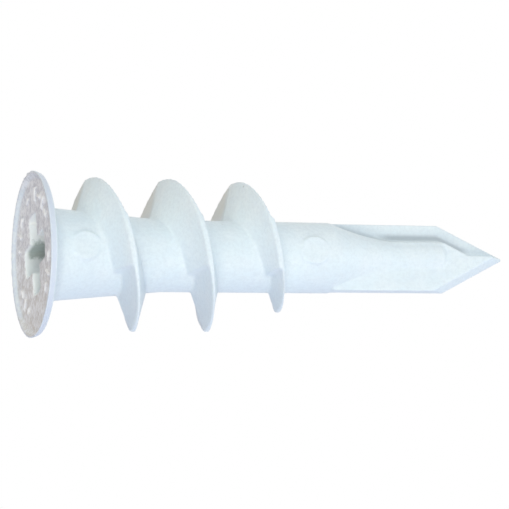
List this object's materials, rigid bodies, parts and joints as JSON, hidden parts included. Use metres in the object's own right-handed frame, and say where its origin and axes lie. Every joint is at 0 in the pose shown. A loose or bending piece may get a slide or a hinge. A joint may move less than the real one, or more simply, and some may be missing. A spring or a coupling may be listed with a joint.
{
  "type": "plastic drywall anchor",
  "caption": "Self-drilling moulded nylon wall anchor: thin dished flange with a cross recess, deep coarse thread, and a flat pointed drill blade",
  "frame": {"origin": "centre of the head face, in the plane of the flange's rim, on the anchor's axis", "axes": "+Z runs along the axis from the head face to the drill point, X lies in the mould's parting plane across the blade, and Y is the mould's draw direction"},
  "size_m": [0.0137, 0.0136, 0.042],
  "materials": {
    "nylon": "natural white moulded nylon, satin"
  },
  "bodies": {
    "root": {"anchor": "nylon"}
  },
  "joints": []
}
